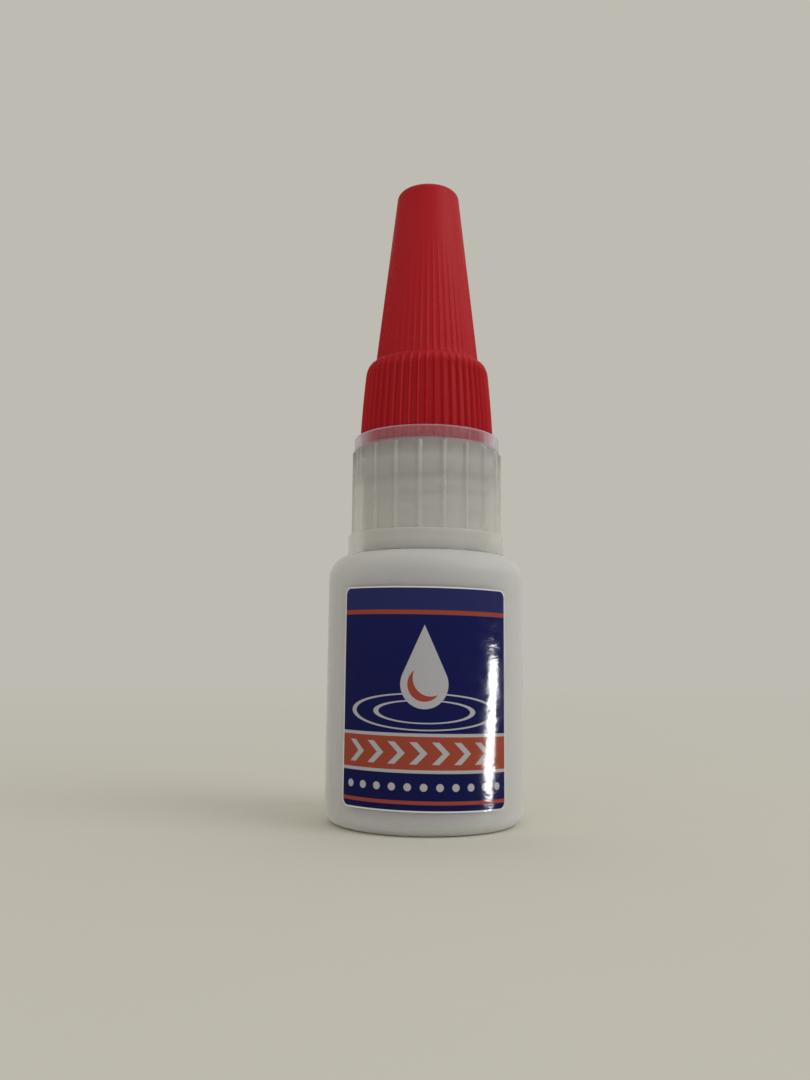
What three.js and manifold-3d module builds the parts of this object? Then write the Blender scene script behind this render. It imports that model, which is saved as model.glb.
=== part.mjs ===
// A small squeeze bottle of instant adhesive. A ribbed nozzle is screwed on the bottle's neck, and a tall
// ribbed cap with a clearing pin closes the nozzle's spout.
// Millimetres, +Z up. The origin is the middle of the base, on the surface that the bottle stands on.
// The label faces -Y. Heights are counted from that surface.

import * as THREE from 'three';
import { mergeVertices } from 'three/addons/utils/BufferGeometryUtils.js';
import Module from 'manifold-3d';

const wasm = await Module();
wasm.setup();

// Bottle
const BODY_DIAMETER = 24;
const BODY_HEIGHT = 32.1; // surface to the flat of the shoulder
const BODY_WALL = 0.9;
const HEEL_RADIUS = 1.7;
const SHOULDER_RADIUS = 2.8;
const STANDING_RING = 1.7; // width of the flat ring that it stands on
const PUSH_UP_HEIGHT = 0.8; // hollow in the middle of the base
const PUSH_UP_RAMP = 0.6; // width of the slope into that hollow
const NECK_DIAMETER = 15.2;
const NECK_WALL = 1.2;
const NECK_HEIGHT = 11.8; // shoulder to mouth
const NECK_FILLET = 0.5;

// Adhesive in the bottle
const FILL_DROP = 2.9; // liquid surface below the top of the straight wall
const FILL_GAP = 0.1;

// Label
const LABEL_WIDTH = 20.9; // along the curve
const LABEL_FOOT = 2.8; // height of its lower edge
const LABEL_DROP = 1.8; // upper edge below the top of the straight wall
const LABEL_CORNER = 0.9;
const LABEL_FILM = 0.15;
const LABEL_GAP = 0.05; // glue under the film

// Nozzle: collar on the neck
const COLLAR_GAP = 0.5; // shoulder to the collar's rim
const COLLAR_WALL = 1.1;
const THREAD_ROOM = 0.45; // between the neck and the collar, for their threads
const RIM_STEP = 0.6; // plain band at the collar's foot
const RIM_HEIGHT = 2;
const GRIP_RIBS = 20;
const GRIP_RIB_WIDTH = 0.85;
const GRIP_RIB_DEPTH = 0.4;
const GRIP_RIB_DROP = 1.75; // top of the lip to the ribs' upper ends
const GRIP_RIB_CHAMFER = 0.25;
const GRIP_RIB_TURN = -4.6; // degrees from the front to the nearest rib
const GRIP_RIB_ROOT = 0.3; // how far a rib is sunk in the collar

// Nozzle: deck, lip, plug ring, boss for the cap, spout
const DECK = 1.3;
const LIP_HEIGHT = 1.7; // thin edge that stands on the deck round the cap's foot
const LIP_WALL = 0.45;
const LIP_ROUND = 0.2; // its outer top edge
const MOUTH_GAP = 0.1; // mouth to the deck's underside
const PLUG_LENGTH = 2.6;
const PLUG_WALL = 0.9;
const PLUG_GAP = 0.1;
const BOSS_DIAMETER = 12.2;
const BOSS_HEIGHT = 7.3;
const BOSS_CHAMFER = 0.4;
const NOZZLE_WALL = 1.1;
const SPOUT_FOOT_DIAMETER = 7.4;
const SPOUT_TIP_DIAMETER = 2.9;
const SPOUT_HEIGHT = 24.6; // above the boss
const SPOUT_LIP = 0.3; // bevel at the outlet
const BORE_DIAMETER = 1.3;
const BORE_LENGTH = 3;

// Cap
const CAP_GAP = 0.3; // deck to the cap's rim
const CAP_THREAD_ROOM = 0.4;
const CAP_BORE_ROOM = 0.6; // boss to the end of the cap's bore
const CAP_LIP_ROOM = 0.22; // lip to the foot of the cap's skirt
const CAP_SKIRT_WALL = 1.33; // skirt under its shoulder, ribs included
const CAP_SKIRT_HEIGHT = 9.6; // rim to the shoulder
const CAP_SHOULDER_HEIGHT = 1.65; // shoulder to the ridge under the cone
const CAP_SHOULDER_STEP = 1.08; // how far the shoulder runs in
const CAP_RIDGE = 0.15; // ledge between the shoulder and the cone
const CAP_SKIRT_BULGE = 0.15; // how far the flared skirt bows out
const CAP_SHOULDER_DRAW = 0.15; // how far the round shoulder keeps from a square one
const CAP_LEDGE = 0.4; // slope from the bore into the cone
const CONE_TOP_DIAMETER = 8.06;
const CONE_WALL = 1.2;
const CAP_EDGE = 0.9; // rounded top edge
const CAP_TOP = 1.5;
const CAP_RIBS = 48;
const CAP_RIB_WIDTH = 0.64;
const CAP_RIB_DEPTH = 0.28;
const CONE_RIB_DEPTH = 0.22;
const CONE_RIB_LENGTH = 17; // the cone's ribs fade out over this height

// Pin in the cap
const PIN_LENGTH = 13;
const PIN_SEAT = 1.9; // depth of its hole in the cap
const PIN_GAP = 0.05;
const PIN_ROOM = 0.3; // between the pin and the spout's bore
const PIN_BOSS_LENGTH = 1.2;
const PIN_BOSS_WALL = 0.8;
const TIP_ROOM = 0.3; // spout to the pin's boss
const PIN_POINT = 0.2;

// Fineness of the round shapes
const SIDES = 40;
const PIN_SIDES = 12;
const CURVE_STEPS = 2;
const LEAST_RADIUS = 0.05; // an inner round that its wall has used up
const STATIONS_PER_RIB = 3;

// Bottle, worked out
const bodyRadius = BODY_DIAMETER / 2;
const neckRadius = NECK_DIAMETER / 2;
const neckBoreRadius = neckRadius - NECK_WALL;
const shoulderRadius = Math.min(SHOULDER_RADIUS, bodyRadius - neckRadius - NECK_FILLET);
const wallTop = BODY_HEIGHT - shoulderRadius;
const mouth = BODY_HEIGHT + NECK_HEIGHT;
const fillTop = wallTop - FILL_DROP;

// Nozzle, worked out
const rim = BODY_HEIGHT + COLLAR_GAP;
const collarBoreRadius = neckRadius + THREAD_ROOM;
const collarRadius = collarBoreRadius + COLLAR_WALL;
const deckUnderside = mouth + MOUTH_GAP;
const deckTop = deckUnderside + DECK;
const lipTop = deckTop + LIP_HEIGHT;
const lipInside = collarRadius - LIP_WALL;
const plugRadius = neckBoreRadius - PLUG_GAP;
const bossRadius = BOSS_DIAMETER / 2;
const bossTop = deckTop + BOSS_HEIGHT;
const tip = bossTop + SPOUT_HEIGHT;
const boreRadius = BORE_DIAMETER / 2;

// Cap, worked out
const capRim = deckTop + CAP_GAP;
const capBoreRadius = bossRadius + CAP_THREAD_ROOM;
const capRimRadius = lipInside - CAP_LIP_ROOM;
const skirtRadius = capBoreRadius + CAP_SKIRT_WALL;
const skirtTop = capRim + CAP_SKIRT_HEIGHT;
const ridge = skirtTop + CAP_SHOULDER_HEIGHT;
const ridgeRadius = skirtRadius - CAP_SHOULDER_STEP;
const coneFootRadius = ridgeRadius - CAP_RIDGE;
const coneTopRadius = CONE_TOP_DIAMETER / 2;
const pinBossFoot = tip + TIP_ROOM;
const coneCeiling = pinBossFoot + PIN_BOSS_LENGTH;
const capTop = coneCeiling + CAP_TOP;
const coneTop = capTop - CAP_EDGE;
const pinRadius = boreRadius - PIN_ROOM;
const pinHoleRadius = pinRadius + PIN_GAP;
const pinTop = pinBossFoot + PIN_SEAT;

// Radius of the cap's cone, over its ribs, at a height
function coneRadius(height) {
  const share = (height - ridge) / (coneTop - ridge);
  return coneFootRadius + (coneTopRadius - coneFootRadius) * share;
}

// Geometry with only positions, its shared vertices merged and its empty triangles dropped
function weld(geometry) {
  geometry.deleteAttribute('normal');
  geometry.deleteAttribute('uv');
  const welded = mergeVertices(geometry);
  const kept = [];
  for (let i = 0; i < welded.index.count; i += 3) {
    const corners = [0, 1, 2].map((k) => welded.index.getX(i + k));
    if (new Set(corners).size === 3) kept.push(...corners);
  }
  welded.setIndex(kept);
  return welded;
}

// Solid for joining and cutting
function toSolid(geometry) {
  const welded = weld(geometry);
  return new wasm.Manifold(
    new wasm.Mesh({
      numProp: 3,
      vertProperties: Float32Array.from(welded.attributes.position.array),
      triVerts: Uint32Array.from(welded.index.array),
    })
  );
}

function toGeometry(solid) {
  const { vertProperties, triVerts } = solid.getMesh();
  const geometry = new THREE.BufferGeometry();
  geometry.setAttribute('position', new THREE.BufferAttribute(vertProperties, 3));
  geometry.setIndex(new THREE.BufferAttribute(triVerts, 1));
  return geometry;
}

// A path of radius and height, turned about the Z axis. Its outside runs upwards.
function revolve(path, sides = SIDES) {
  const geometry = new THREE.LatheGeometry(path.getPoints(CURVE_STEPS), sides);
  return geometry.rotateX(Math.PI / 2);
}

// A path that starts at a point and runs straight through the others
function polyline(points) {
  const path = new THREE.Path();
  path.moveTo(...points[0]);
  points.slice(1).forEach((point) => path.lineTo(...point));
  return path;
}

// The inside of the bottle's base and straight wall, drawn in by a gap, from the axis outwards and up
function cavityFoot(gap) {
  const radius = bodyRadius - BODY_WALL - gap;
  const heel = Math.max(HEEL_RADIUS - BODY_WALL - gap, LEAST_RADIUS);
  const floor = BODY_WALL + gap;
  const ringInside = bodyRadius - HEEL_RADIUS - STANDING_RING;
  const path = polyline([
    [0, floor + PUSH_UP_HEIGHT],
    [ringInside - PUSH_UP_RAMP, floor + PUSH_UP_HEIGHT],
    [ringInside, floor],
    [radius - heel, floor],
  ]);
  path.absarc(radius - heel, floor + heel, heel, -Math.PI / 2, 0);
  return path;
}

// Bottle: blow-moulded shell, open at the mouth
function makeBottle() {
  const ringInside = bodyRadius - HEEL_RADIUS - STANDING_RING;
  const innerShoulder = Math.max(shoulderRadius - BODY_WALL, LEAST_RADIUS);
  const innerRadius = bodyRadius - BODY_WALL;
  const ceiling = BODY_HEIGHT - BODY_WALL;
  const path = polyline([
    [0, PUSH_UP_HEIGHT],
    [ringInside - PUSH_UP_RAMP, PUSH_UP_HEIGHT],
    [ringInside, 0],
  ]);
  path.absarc(bodyRadius - HEEL_RADIUS, HEEL_RADIUS, HEEL_RADIUS, -Math.PI / 2, 0);
  path.absarc(bodyRadius - shoulderRadius, wallTop, shoulderRadius, 0, Math.PI / 2);
  const filletAt = [neckRadius + NECK_FILLET, BODY_HEIGHT + NECK_FILLET];
  path.absarc(...filletAt, NECK_FILLET, -Math.PI / 2, -Math.PI, true);
  path.lineTo(neckRadius, mouth);
  path.lineTo(neckBoreRadius, mouth);
  path.lineTo(neckBoreRadius, ceiling);
  path.absarc(innerRadius - innerShoulder, ceiling - innerShoulder, innerShoulder, Math.PI / 2, 0, true);
  const inside = cavityFoot(0).getPoints(CURVE_STEPS).reverse();
  inside.forEach((point) => path.lineTo(point.x, point.y));
  return weld(revolve(path));
}

// Adhesive: fills the bottle to just under its shoulder
function makeAdhesive() {
  const path = cavityFoot(FILL_GAP);
  path.lineTo(bodyRadius - BODY_WALL - FILL_GAP, fillTop);
  path.lineTo(0, fillTop);
  return weld(revolve(path));
}

// Rectangle with rounded corners, centred on x
function roundedRectangle(halfWidth, low, high, corner) {
  const shape = new THREE.Shape();
  const inset = halfWidth - corner;
  shape.absarc(inset, low + corner, corner, -Math.PI / 2, 0);
  shape.absarc(inset, high - corner, corner, 0, Math.PI / 2);
  shape.absarc(-inset, high - corner, corner, Math.PI / 2, Math.PI);
  shape.absarc(-inset, low + corner, corner, Math.PI, (3 * Math.PI) / 2);
  return shape;
}

// Label: the front of a thin ring round the bottle, trimmed to its outline
function makeLabel() {
  const inner = bodyRadius + LABEL_GAP;
  const outer = inner + LABEL_FILM;
  const high = wallTop - LABEL_DROP;
  const ring = polyline([
    [inner, LABEL_FOOT],
    [outer, LABEL_FOOT],
    [outer, high],
    [inner, high],
    [inner, LABEL_FOOT],
  ]);
  const halfWidth = outer * Math.sin(LABEL_WIDTH / 2 / outer);
  const outline = roundedRectangle(halfWidth, LABEL_FOOT, high, LABEL_CORNER);
  const trim = new THREE.ExtrudeGeometry(outline, {
    depth: BODY_DIAMETER,
    bevelEnabled: false,
    curveSegments: CURVE_STEPS * 2,
  });
  trim.rotateX(Math.PI / 2);
  return weld(toGeometry(toSolid(revolve(ring)).intersect(toSolid(trim))));
}

// One grip rib of the collar, standing on +X
function makeGripRib() {
  const inside = collarRadius - GRIP_RIB_ROOT;
  const outside = collarRadius + GRIP_RIB_DEPTH;
  const low = rim + RIM_HEIGHT - GRIP_RIB_ROOT;
  const high = lipTop - GRIP_RIB_DROP;
  const outline = new THREE.Shape();
  outline.moveTo(inside, low);
  outline.lineTo(outside, low);
  outline.lineTo(outside, high - GRIP_RIB_CHAMFER);
  outline.lineTo(outside - GRIP_RIB_CHAMFER, high);
  outline.lineTo(inside, high);
  const rib = new THREE.ExtrudeGeometry(outline, { depth: GRIP_RIB_WIDTH, bevelEnabled: false });
  rib.translate(0, 0, -GRIP_RIB_WIDTH / 2);
  return rib.rotateX(Math.PI / 2);
}

// Nozzle: collar, deck, lip, boss, spout and plug ring in one thin-walled moulding
function makeNozzle() {
  const plugBoreRadius = plugRadius - PLUG_WALL;
  const bossBoreRadius = Math.min(bossRadius - NOZZLE_WALL, plugBoreRadius);
  const spoutRadius = SPOUT_FOOT_DIAMETER / 2;
  const tipRadius = SPOUT_TIP_DIAMETER / 2;
  const lipRound = Math.min(LIP_ROUND, LIP_WALL);
  const path = polyline([
    [collarBoreRadius, rim],
    [collarRadius + RIM_STEP, rim],
    [collarRadius + RIM_STEP, rim + RIM_HEIGHT],
    [collarRadius, rim + RIM_HEIGHT],
  ]);
  path.absarc(collarRadius - lipRound, lipTop - lipRound, lipRound, 0, Math.PI / 2);
  const rest = [
    [lipInside, lipTop],
    [lipInside, deckTop],
    [bossRadius, deckTop],
    [bossRadius, bossTop - BOSS_CHAMFER],
    [bossRadius - BOSS_CHAMFER, bossTop],
    [spoutRadius, bossTop],
    [tipRadius, tip - SPOUT_LIP],
    [tipRadius - SPOUT_LIP, tip],
    [boreRadius, tip],
    [boreRadius, tip - BORE_LENGTH],
    [spoutRadius - NOZZLE_WALL, bossTop - NOZZLE_WALL],
    [bossBoreRadius, bossTop - NOZZLE_WALL],
    [bossBoreRadius, deckUnderside],
    [plugBoreRadius, deckUnderside],
    [plugBoreRadius, deckUnderside - PLUG_LENGTH],
    [plugRadius, deckUnderside - PLUG_LENGTH],
    [plugRadius, deckUnderside],
    [collarBoreRadius, deckUnderside],
    [collarBoreRadius, rim],
  ];
  rest.forEach((point) => path.lineTo(...point));
  let nozzle = toSolid(revolve(path));
  for (let k = 0; k < GRIP_RIBS; k += 1) {
    const turn = THREE.MathUtils.degToRad(GRIP_RIB_TURN - 90) + (k * 2 * Math.PI) / GRIP_RIBS;
    nozzle = nozzle.add(toSolid(makeGripRib().rotateZ(turn)));
  }
  return weld(toGeometry(nozzle));
}

// The cap's outside, rim to top: radius over the ribs, height, and the ribs' depth there
function capOutside() {
  const rimPoint = new THREE.Vector2(capRimRadius, capRim);
  const skirtPoint = new THREE.Vector2(skirtRadius, skirtTop);
  const ridgePoint = new THREE.Vector2(ridgeRadius, ridge);
  const middleRadius = (capRimRadius + skirtRadius) / 2;
  const flare = new THREE.Vector2(middleRadius + CAP_SKIRT_BULGE, (capRim + skirtTop) / 2);
  const crown = new THREE.Vector2(skirtRadius - CAP_SHOULDER_DRAW, ridge - CAP_SHOULDER_DRAW);
  const skirt = new THREE.QuadraticBezierCurve(rimPoint, flare, skirtPoint).getPoints(2 * CURVE_STEPS);
  const shoulder = new THREE.QuadraticBezierCurve(skirtPoint, crown, ridgePoint).getPoints(2 * CURVE_STEPS);
  const edge = new THREE.EllipseCurve(coneTopRadius - CAP_EDGE, coneTop, CAP_EDGE, CAP_EDGE, 0, Math.PI / 2);
  const shoulderRib = (height) => (CAP_RIB_DEPTH * (ridge - height)) / CAP_SHOULDER_HEIGHT;
  const ribEnd = Math.min(ridge + CONE_RIB_LENGTH, coneTop - CAP_EDGE);
  return [
    ...skirt.map((point) => [point.x, point.y, CAP_RIB_DEPTH]),
    ...shoulder.slice(1).map((point) => [point.x, point.y, shoulderRib(point.y)]),
    [coneFootRadius, ridge, CONE_RIB_DEPTH],
    [coneRadius(ribEnd), ribEnd, 0],
    ...edge.getPoints(2 * CURVE_STEPS).map((point) => [point.x, point.y, 0]),
  ];
}

// A turned solid whose outside carries narrow upright ribs with flat valleys between them
function revolveRibbed(outside, count, ribWidth) {
  const low = outside[0];
  const high = outside[outside.length - 1];
  const profile = [[0, low[1], 0], ...outside, [0, high[1], 0]];
  const sides = count * STATIONS_PER_RIB;
  const points = profile.map(([radius, height]) => new THREE.Vector2(radius, height));
  const geometry = new THREE.LatheGeometry(points, sides);
  const position = geometry.attributes.position;
  const pitch = (2 * Math.PI) / count;
  const halfRib = ribWidth / 2 / low[0];
  for (let side = 0; side <= sides; side += 1) {
    const station = (side % STATIONS_PER_RIB) - 1;
    const angle = Math.floor(side / STATIONS_PER_RIB) * pitch + station * halfRib;
    profile.forEach(([radius, height, depth], k) => {
      const reach = station === 0 ? radius : radius - depth;
      position.setXYZ(side * profile.length + k, reach * Math.sin(angle), height, reach * Math.cos(angle));
    });
  }
  return geometry.rotateX(Math.PI / 2);
}

// Cap: ribbed skirt and cone, hollow for the boss and the spout, with a boss for the pin under its top
function makeCap() {
  const boreTop = bossTop + CAP_BORE_ROOM;
  const coneFoot = boreTop + CAP_LEDGE;
  const below = capRim - CAP_GAP;
  const hollow = polyline([
    [0, below],
    [capBoreRadius, below],
    [capBoreRadius, boreTop],
    [coneRadius(coneFoot) - CONE_WALL, coneFoot],
    [coneRadius(coneCeiling) - CONE_WALL, coneCeiling],
    [pinHoleRadius + PIN_BOSS_WALL, coneCeiling],
    [pinHoleRadius + PIN_BOSS_WALL, pinBossFoot],
    [pinHoleRadius, pinBossFoot],
    [pinHoleRadius, pinTop],
    [0, pinTop],
  ]);
  const outside = toSolid(revolveRibbed(capOutside(), CAP_RIBS, CAP_RIB_WIDTH));
  return weld(toGeometry(outside.subtract(toSolid(revolve(hollow)))));
}

// Pin: a blunt wire, held in the cap and standing in the spout's bore
function makePin() {
  const top = pinTop - PIN_GAP;
  const foot = top - PIN_LENGTH;
  const path = polyline([
    [0, foot],
    [pinRadius - PIN_POINT, foot],
    [pinRadius, foot + PIN_POINT],
    [pinRadius, top],
    [0, top],
  ]);
  return weld(revolve(path, PIN_SIDES));
}

function makeMesh(name, geometry, look) {
  const material = new THREE.MeshStandardMaterial({ flatShading: true, ...look });
  const mesh = new THREE.Mesh(geometry, material);
  mesh.name = name;
  return mesh;
}

const milky = { color: '#dcdcd4', roughness: 0.42, metalness: 0 };
const liquid = { color: '#e9e8dd', roughness: 0.1, metalness: 0, transparent: true, opacity: 0.4 };
const film = { color: '#1f2a78', roughness: 0.2, metalness: 0 };
const natural = { color: '#d4d5d0', roughness: 0.3, metalness: 0, transparent: true, opacity: 0.75 };
const red = { color: '#b01c22', roughness: 0.38, metalness: 0 };
const steel = { color: '#b9bcc0', roughness: 0.25, metalness: 1 };

const glueBottle = new THREE.Group();
glueBottle.add(
  makeMesh('bottle', makeBottle(), milky),
  makeMesh('adhesive', makeAdhesive(), liquid),
  makeMesh('label', makeLabel(), film),
  makeMesh('nozzle', makeNozzle(), natural),
  makeMesh('cap', makeCap(), red),
  makeMesh('cap_pin', makePin(), steel)
);

export default glueBottle;
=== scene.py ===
import math

import bmesh
import bpy
import numpy as np
from mathutils import Matrix, Quaternion, Vector


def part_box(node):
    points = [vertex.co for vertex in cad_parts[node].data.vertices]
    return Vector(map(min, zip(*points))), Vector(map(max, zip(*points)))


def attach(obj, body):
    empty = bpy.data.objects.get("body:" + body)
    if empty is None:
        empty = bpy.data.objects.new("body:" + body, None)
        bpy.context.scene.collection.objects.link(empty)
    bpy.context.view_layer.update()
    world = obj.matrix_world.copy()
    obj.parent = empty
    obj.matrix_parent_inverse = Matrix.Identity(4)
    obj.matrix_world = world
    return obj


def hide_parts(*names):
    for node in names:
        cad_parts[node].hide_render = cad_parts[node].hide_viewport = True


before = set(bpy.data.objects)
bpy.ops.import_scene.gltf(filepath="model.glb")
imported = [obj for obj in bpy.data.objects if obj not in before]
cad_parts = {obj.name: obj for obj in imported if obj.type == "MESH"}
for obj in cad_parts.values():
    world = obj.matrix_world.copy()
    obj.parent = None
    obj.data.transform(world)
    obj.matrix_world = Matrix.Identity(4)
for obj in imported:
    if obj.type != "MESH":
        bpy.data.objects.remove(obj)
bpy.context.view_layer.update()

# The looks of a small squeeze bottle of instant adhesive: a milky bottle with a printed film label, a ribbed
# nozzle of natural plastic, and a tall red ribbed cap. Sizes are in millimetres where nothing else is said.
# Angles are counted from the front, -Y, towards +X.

MM = 0.001
TURN = 2 * math.pi
TINY = 1e-6


def span(node):
    """Lowest and highest corner of a CAD node, in millimetres."""
    low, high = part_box(node)
    return low / MM, high / MM


bottle_high = span("bottle")[1]
adhesive_high = span("adhesive")[1]
label_low, label_high = span("label")
nozzle_low, nozzle_high = span("nozzle")
cap_low, cap_high = span("cap")
pin_low, pin_high = span("cap_pin")

# Roundings that several corners share
FINE_ROUND = 0.15
SMALL_ROUND = 0.2
EDGE_ROUND = 0.3
SOFT_ROUND = 0.4

# Bottle
BODY_RADIUS = bottle_high.x
BODY_HEIGHT = 32.1
BODY_WALL = 0.9
HEEL_ROUND = 1.7
SHOULDER_ROUND = 2.8
STANDING_RING = 1.7
PUSH_UP = 0.8
PUSH_UP_RAMP = 0.6
NECK_RADIUS = 7.6
NECK_BORE = 6.4
NECK_BORE_ROUND = 0.6
NECK_FILLET = 0.5
MOUTH = bottle_high.z
SEAM_DEPTH = 0.03  # parting line of the mould, left and right
SEAM_WIDTH = 0.24

# Threads, with the plain stretches beyond them
THREAD_PITCH = 2.5
THREAD_WIDTH = 1.0
THREAD_FLANK = 0.35
THREAD_RUN_OUT = 0.12  # share of a turn
NECK_THREAD_FOOT = 35.2
NECK_THREAD_TURNS = 2.4
NECK_THREAD_HEIGHT = 0.38
NECK_PLAIN_END = 1.0
COLLAR_THREAD_HEIGHT = 0.34
BOSS_THREAD_FOOT = 47.4
BOSS_THREAD_TURNS = 1.3
BOSS_THREAD_HEIGHT = 0.33
BOSS_PLAIN_FOOT = 0.3
BOSS_PLAIN_TOP = 0.4
CAP_THREAD_HEIGHT = 0.3
CAP_PLAIN_FOOT = 0.8
CAP_PLAIN_TOP = 0.4

# Adhesive
FILL_RADIUS = adhesive_high.x
FILL_TOP = adhesive_high.z
FILL_GAP = 0.1
MENISCUS = 0.35
MENISCUS_REACH = 1.4

# Label
LABEL_RADIUS = -label_low.y
LABEL_FOOT = label_low.z
LABEL_TOP = label_high.z
LABEL_WIDTH = 20.9
LABEL_FILM = 0.15
LABEL_CORNER = 0.95
LABEL_TILT = -0.011  # rise to the right, for each millimetre along the film

# Nozzle
RIM_DROP = 0.4  # screwed down on the shoulder
RIM = nozzle_low.z - RIM_DROP
RIM_RADIUS = nozzle_high.x
RIM_HEIGHT = 2.0 + RIM_DROP
RIM_TOP_ROUND = 0.12
RIM_FLAT_END = 0.4  # out from the collar, clear of its ribs
COLLAR_BORE = 8.05
COLLAR_RADIUS = 9.15
DECK = 44.0
DECK_TOP = 45.3
LIP_TOP = 47.0  # thin edge round the cap's foot
LIP_WALL = 0.45
LIP_ROUND = 0.2
PLUG_RADIUS = 6.3
PLUG_BORE = 5.4
PLUG_LENGTH = 2.6
PLUG_CHAMFER = 0.4
PLUG_EDGE = 0.25
BOSS_RADIUS = 6.1
BOSS_BORE = 5.0
BOSS_TOP = 52.6
BOSS_ROUND = 0.35
NOZZLE_WALL = 1.1
SPOUT_FOOT_RADIUS = 3.7
SPOUT_TIP_RADIUS = 1.45
SPOUT_LIP = 0.3
SPOUT_FILLET = 0.8
OUTLET_RADIUS = 0.65
OUTLET_LENGTH = 3.0
TIP = nozzle_high.z
GRIP_RIBS = 20
GRIP_TURN = math.radians(-4.6)
GRIP_WIDTH = 0.85
GRIP_DEPTH = 0.3
GRIP_FLANK = 0.42
GRIP_ROOT = 0.05
GRIP_TOP = 45.25
GRIP_CHAMFER = 0.25

# Cap
CAP_RIM = cap_low.z
CAP_RIM_RADIUS = cap_high.x
CAP_RIM_ROUND = 0.12
CAP_RIM_FLAT_END = 0.7  # in from the rim, clear of the valleys
CAP_BORE = 6.5
CAP_BORE_TOP = 53.2
SKIRT_TOP = 55.2
SKIRT_RADIUS = 7.83
SKIRT_BULGE = 0.15
RIDGE = 56.85
RIDGE_RADIUS = 6.75
RIDGE_LEDGE = 0.15
SHOULDER_DRAW = 0.15
CONE_TOP_RADIUS = 4.03
CONE_WALL = 1.2
CONE_LEDGE = 0.4
CAP_TOP = cap_high.z
CAP_EDGE = 0.9
CAP_CEILING = 78.7
CAP_RIBS = 48
CAP_RIB_WIDTH = 0.66
SKIRT_RIB_DEPTH = 0.45
CONE_RIB_DEPTH = 0.17
CONE_RIB_LENGTH = 17.0
PIN_BOSS_FOOT = 77.5
PIN_BOSS_WALL = 0.8
PIN_BOSS_EDGE = 0.1
PIN_GAP = 0.05

# Pin
PIN_RADIUS = pin_high.x
PIN_FOOT = pin_low.z
PIN_TOP = pin_high.z
PIN_POINT = 0.2
PIN_HEAD_ROUND = 0.05

# Fineness of the meshes
ARC_SAG = 0.004  # how far a facet may cut inside a rounded corner
ARC_STEP = math.radians(22.5)  # most turn in one facet
THREAD_STEP = 0.18
WALL_STEP = 2.0
GRIP_STEP = 1.0
CONE_STEP = 0.75
PIN_STEP = 1.0
MENISCUS_STEPS = 10
SKIRT_STEPS = 12
SHOULDER_STEPS = 14
BOTTLE_FACETS = 192
SEAM_OFFSETS = np.radians([-0.6, -0.3, -0.15, 0, 0.15, 0.3, 0.6])
FILL_FACETS = 96
GRIP_FLANK_STEPS = 3
GRIP_VALLEY_STEPS = 4
CAP_RIB_FACETS = 12
PIN_FACETS = 32
LABEL_ROWS = 40
LABEL_COLUMNS = 97
LABEL_CORNER_STEPS = 9
SHARP_EDGE = math.radians(38)
ANGLE_DIGITS = 9  # angles alike to so many are one

# Colours of the materials, most as a pair that soft clouds run between
MILKY = ((0.70, 0.69, 0.645, 1), (0.75, 0.74, 0.70, 1))
# Both nozzle pairs are painted light: the shaded tone under the lip, the lit tone at the rim
NATURAL_SHADED_TONE = ((0.34, 0.34, 0.32, 1), (0.39, 0.39, 0.37, 1))
NATURAL_LIT_TONE = ((0.72, 0.72, 0.69, 1), (0.78, 0.78, 0.75, 1))
NATURAL_LIP = (0.67, 0.62, 0.71, 1)
RED = ((0.43, 0.008, 0.015, 1), (0.48, 0.011, 0.018, 1))
CLEAR = ((0.96, 0.955, 0.92, 1), (0.985, 0.98, 0.95, 1))
STEEL = ((0.50, 0.50, 0.51, 1), (0.64, 0.64, 0.65, 1))
NOISE_RANGE = (0.3, 0.7)  # noise at which a surface is smoothest and roughest

# How much the plastics hide of what is behind them, from 0 to 1
BODY_COVER = 0.93  # straight on
BODY_COVER_SLANT = 0.8  # slant at which all is hidden
COLLAR_COVER = 0.42
DECK_COVER = 0.82
DECK_COVER_FADE = 3.0  # starts this far below the deck
RIM_COVER_LOSS = 0.2
RIM_COVER_FADE = 1.2  # ends this far above the rim's foot
LIP_COVER = (0.1, 0.66)  # straight on and at a slant
LIP_COVER_SLANT = (0.35, 0.75)  # the two slants
LIP_FOOT_FADE = (-0.15, 0.25)  # from the deck's top
LIP_EDGE_COVER = 0.15
LIP_EDGE_FADE = (-0.25, -0.1)  # from the lip's top

# Share of the lit tone in the nozzle's painted shade: all of it at the rim's foot, none under the lip
NATURAL_TOP_SHARE = 0.5  # towards the top
NATURAL_TOP_FADE = 1.0  # starts this far below the deck
NATURAL_INNER_SHARE = 0.6  # deck, boss and spout

# Print on the label
BLUE = (0.006, 0.0078, 0.072, 1)
# lighter blue at the label's top, a painted reflection
BLUE_SHEEN = (0.0085, 0.011, 0.092, 1)
BLUE_PALE = (0.021, 0.027, 0.12, 1)
ORANGE = (0.33, 0.062, 0.036, 1)
WHITE = (0.44, 0.44, 0.47, 1)
FILM_CORE = (0.80, 0.80, 0.78, 1)
PRINT_EDGE = 0.03
PRINT_MARGIN = 0.15  # bare film round the print
BANDS = (  # foot, top and ink, each over the one before
    (24.85, 28.0, BLUE_PALE),
    (24.35, 24.85, ORANGE),
    (6.95, 11.25, WHITE),
    (7.3, 10.9, ORANGE),
    (3.6, 4.0, ORANGE),
)
CHEVRON_LEVEL = 9.1
CHEVRON_HEIGHT = 2.4
CHEVRON_PITCH = 2.5
CHEVRON_STROKE = 0.8
CHEVRON_ROW = 17.5
DOT_LEVEL = 5.45
DOT_PITCH = 1.8
DOT_RADIUS = 0.42
DOT_ROW = 19.4
RIPPLES = ((5.6, 1.25), (8.6, 2.0))  # half the width and half the height
RIPPLE_LEVEL = 13.6
RIPPLE_STROKE = 0.64
DROP_LEVEL = 16.6
DROP_RADIUS = 2.7
DROP_TIP = 23.2
SHINE_RADIUS = 1.9
SHINE_CUT_RADIUS = 2.0
SHINE_CUT_SHIFT = 0.7  # to the right and up

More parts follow.
